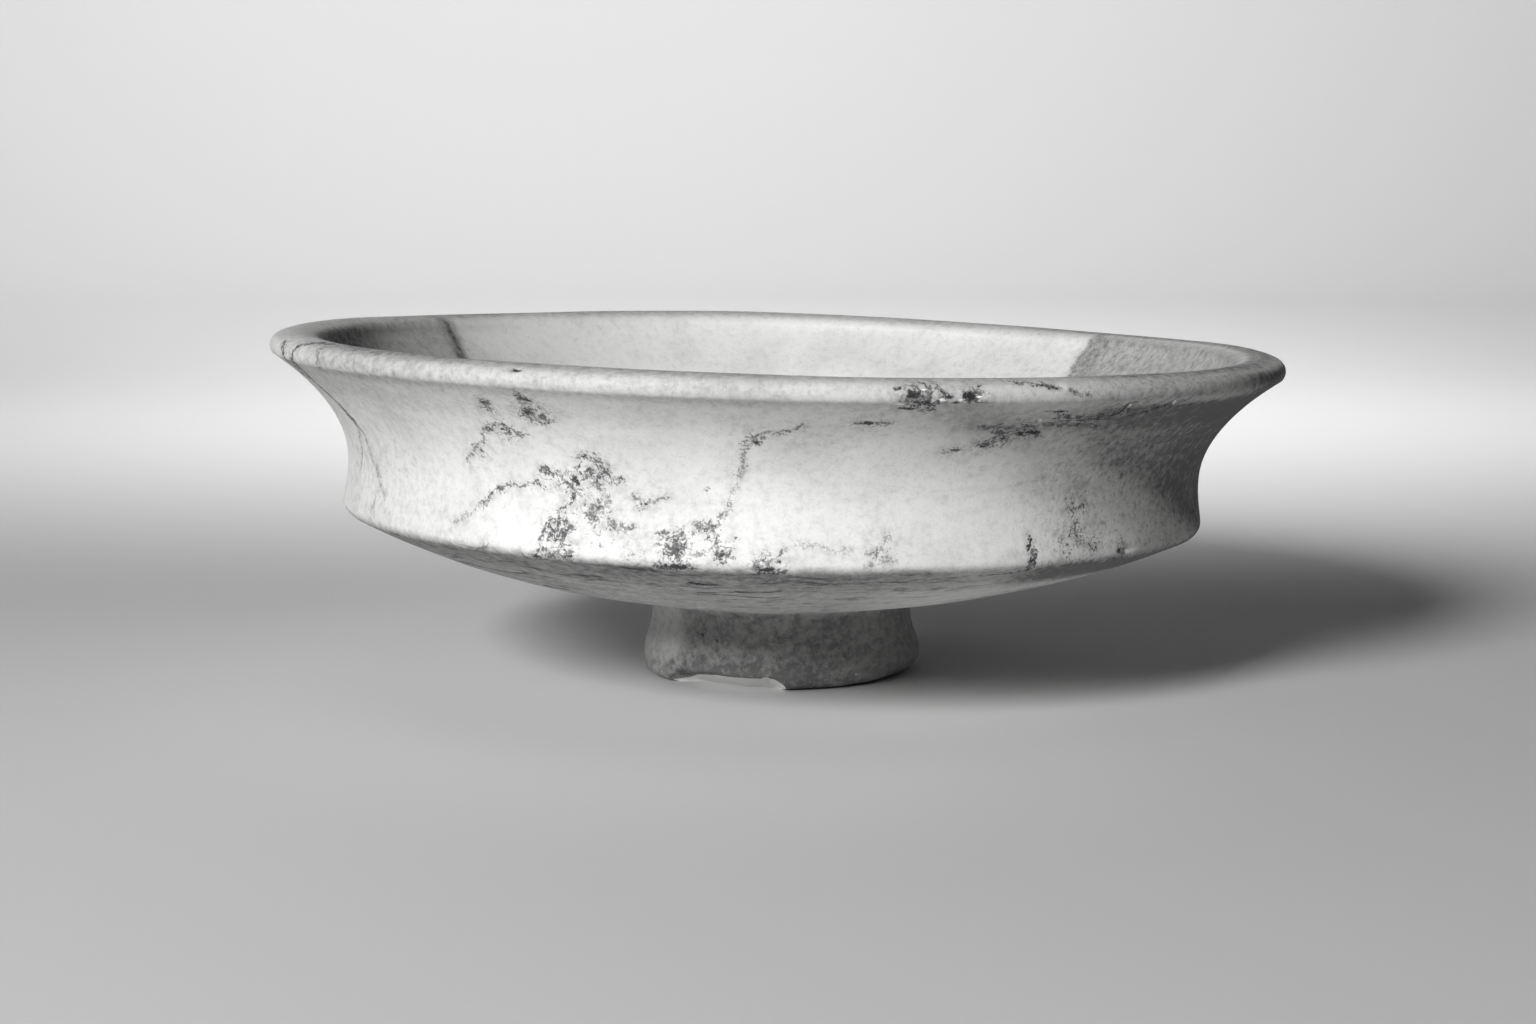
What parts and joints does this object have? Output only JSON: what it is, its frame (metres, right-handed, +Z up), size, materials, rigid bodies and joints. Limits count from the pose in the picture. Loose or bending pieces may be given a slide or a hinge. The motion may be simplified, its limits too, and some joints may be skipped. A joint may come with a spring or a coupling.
{
  "type": "footed shallow dish",
  "caption": "Shallow stone dish on a low round foot, with a sharp shoulder, an upright waisted wall and a broad flaring lip.",
  "frame": {"origin": "centre of the foot's flat underside, on the surface that the dish stands on", "axes": "+Z up along the foot's axis; -Y is the front, the side with the long spall on the foot's edge; the bowl leans down towards +X"},
  "size_m": [0.1794, 0.1794, 0.0624],
  "materials": {
    "stone": "white stone with grey veins, softly polished and worn, broken white at a spall on the foot"
  },
  "bodies": {
    "root": {"dish": "stone"}
  },
  "joints": []
}
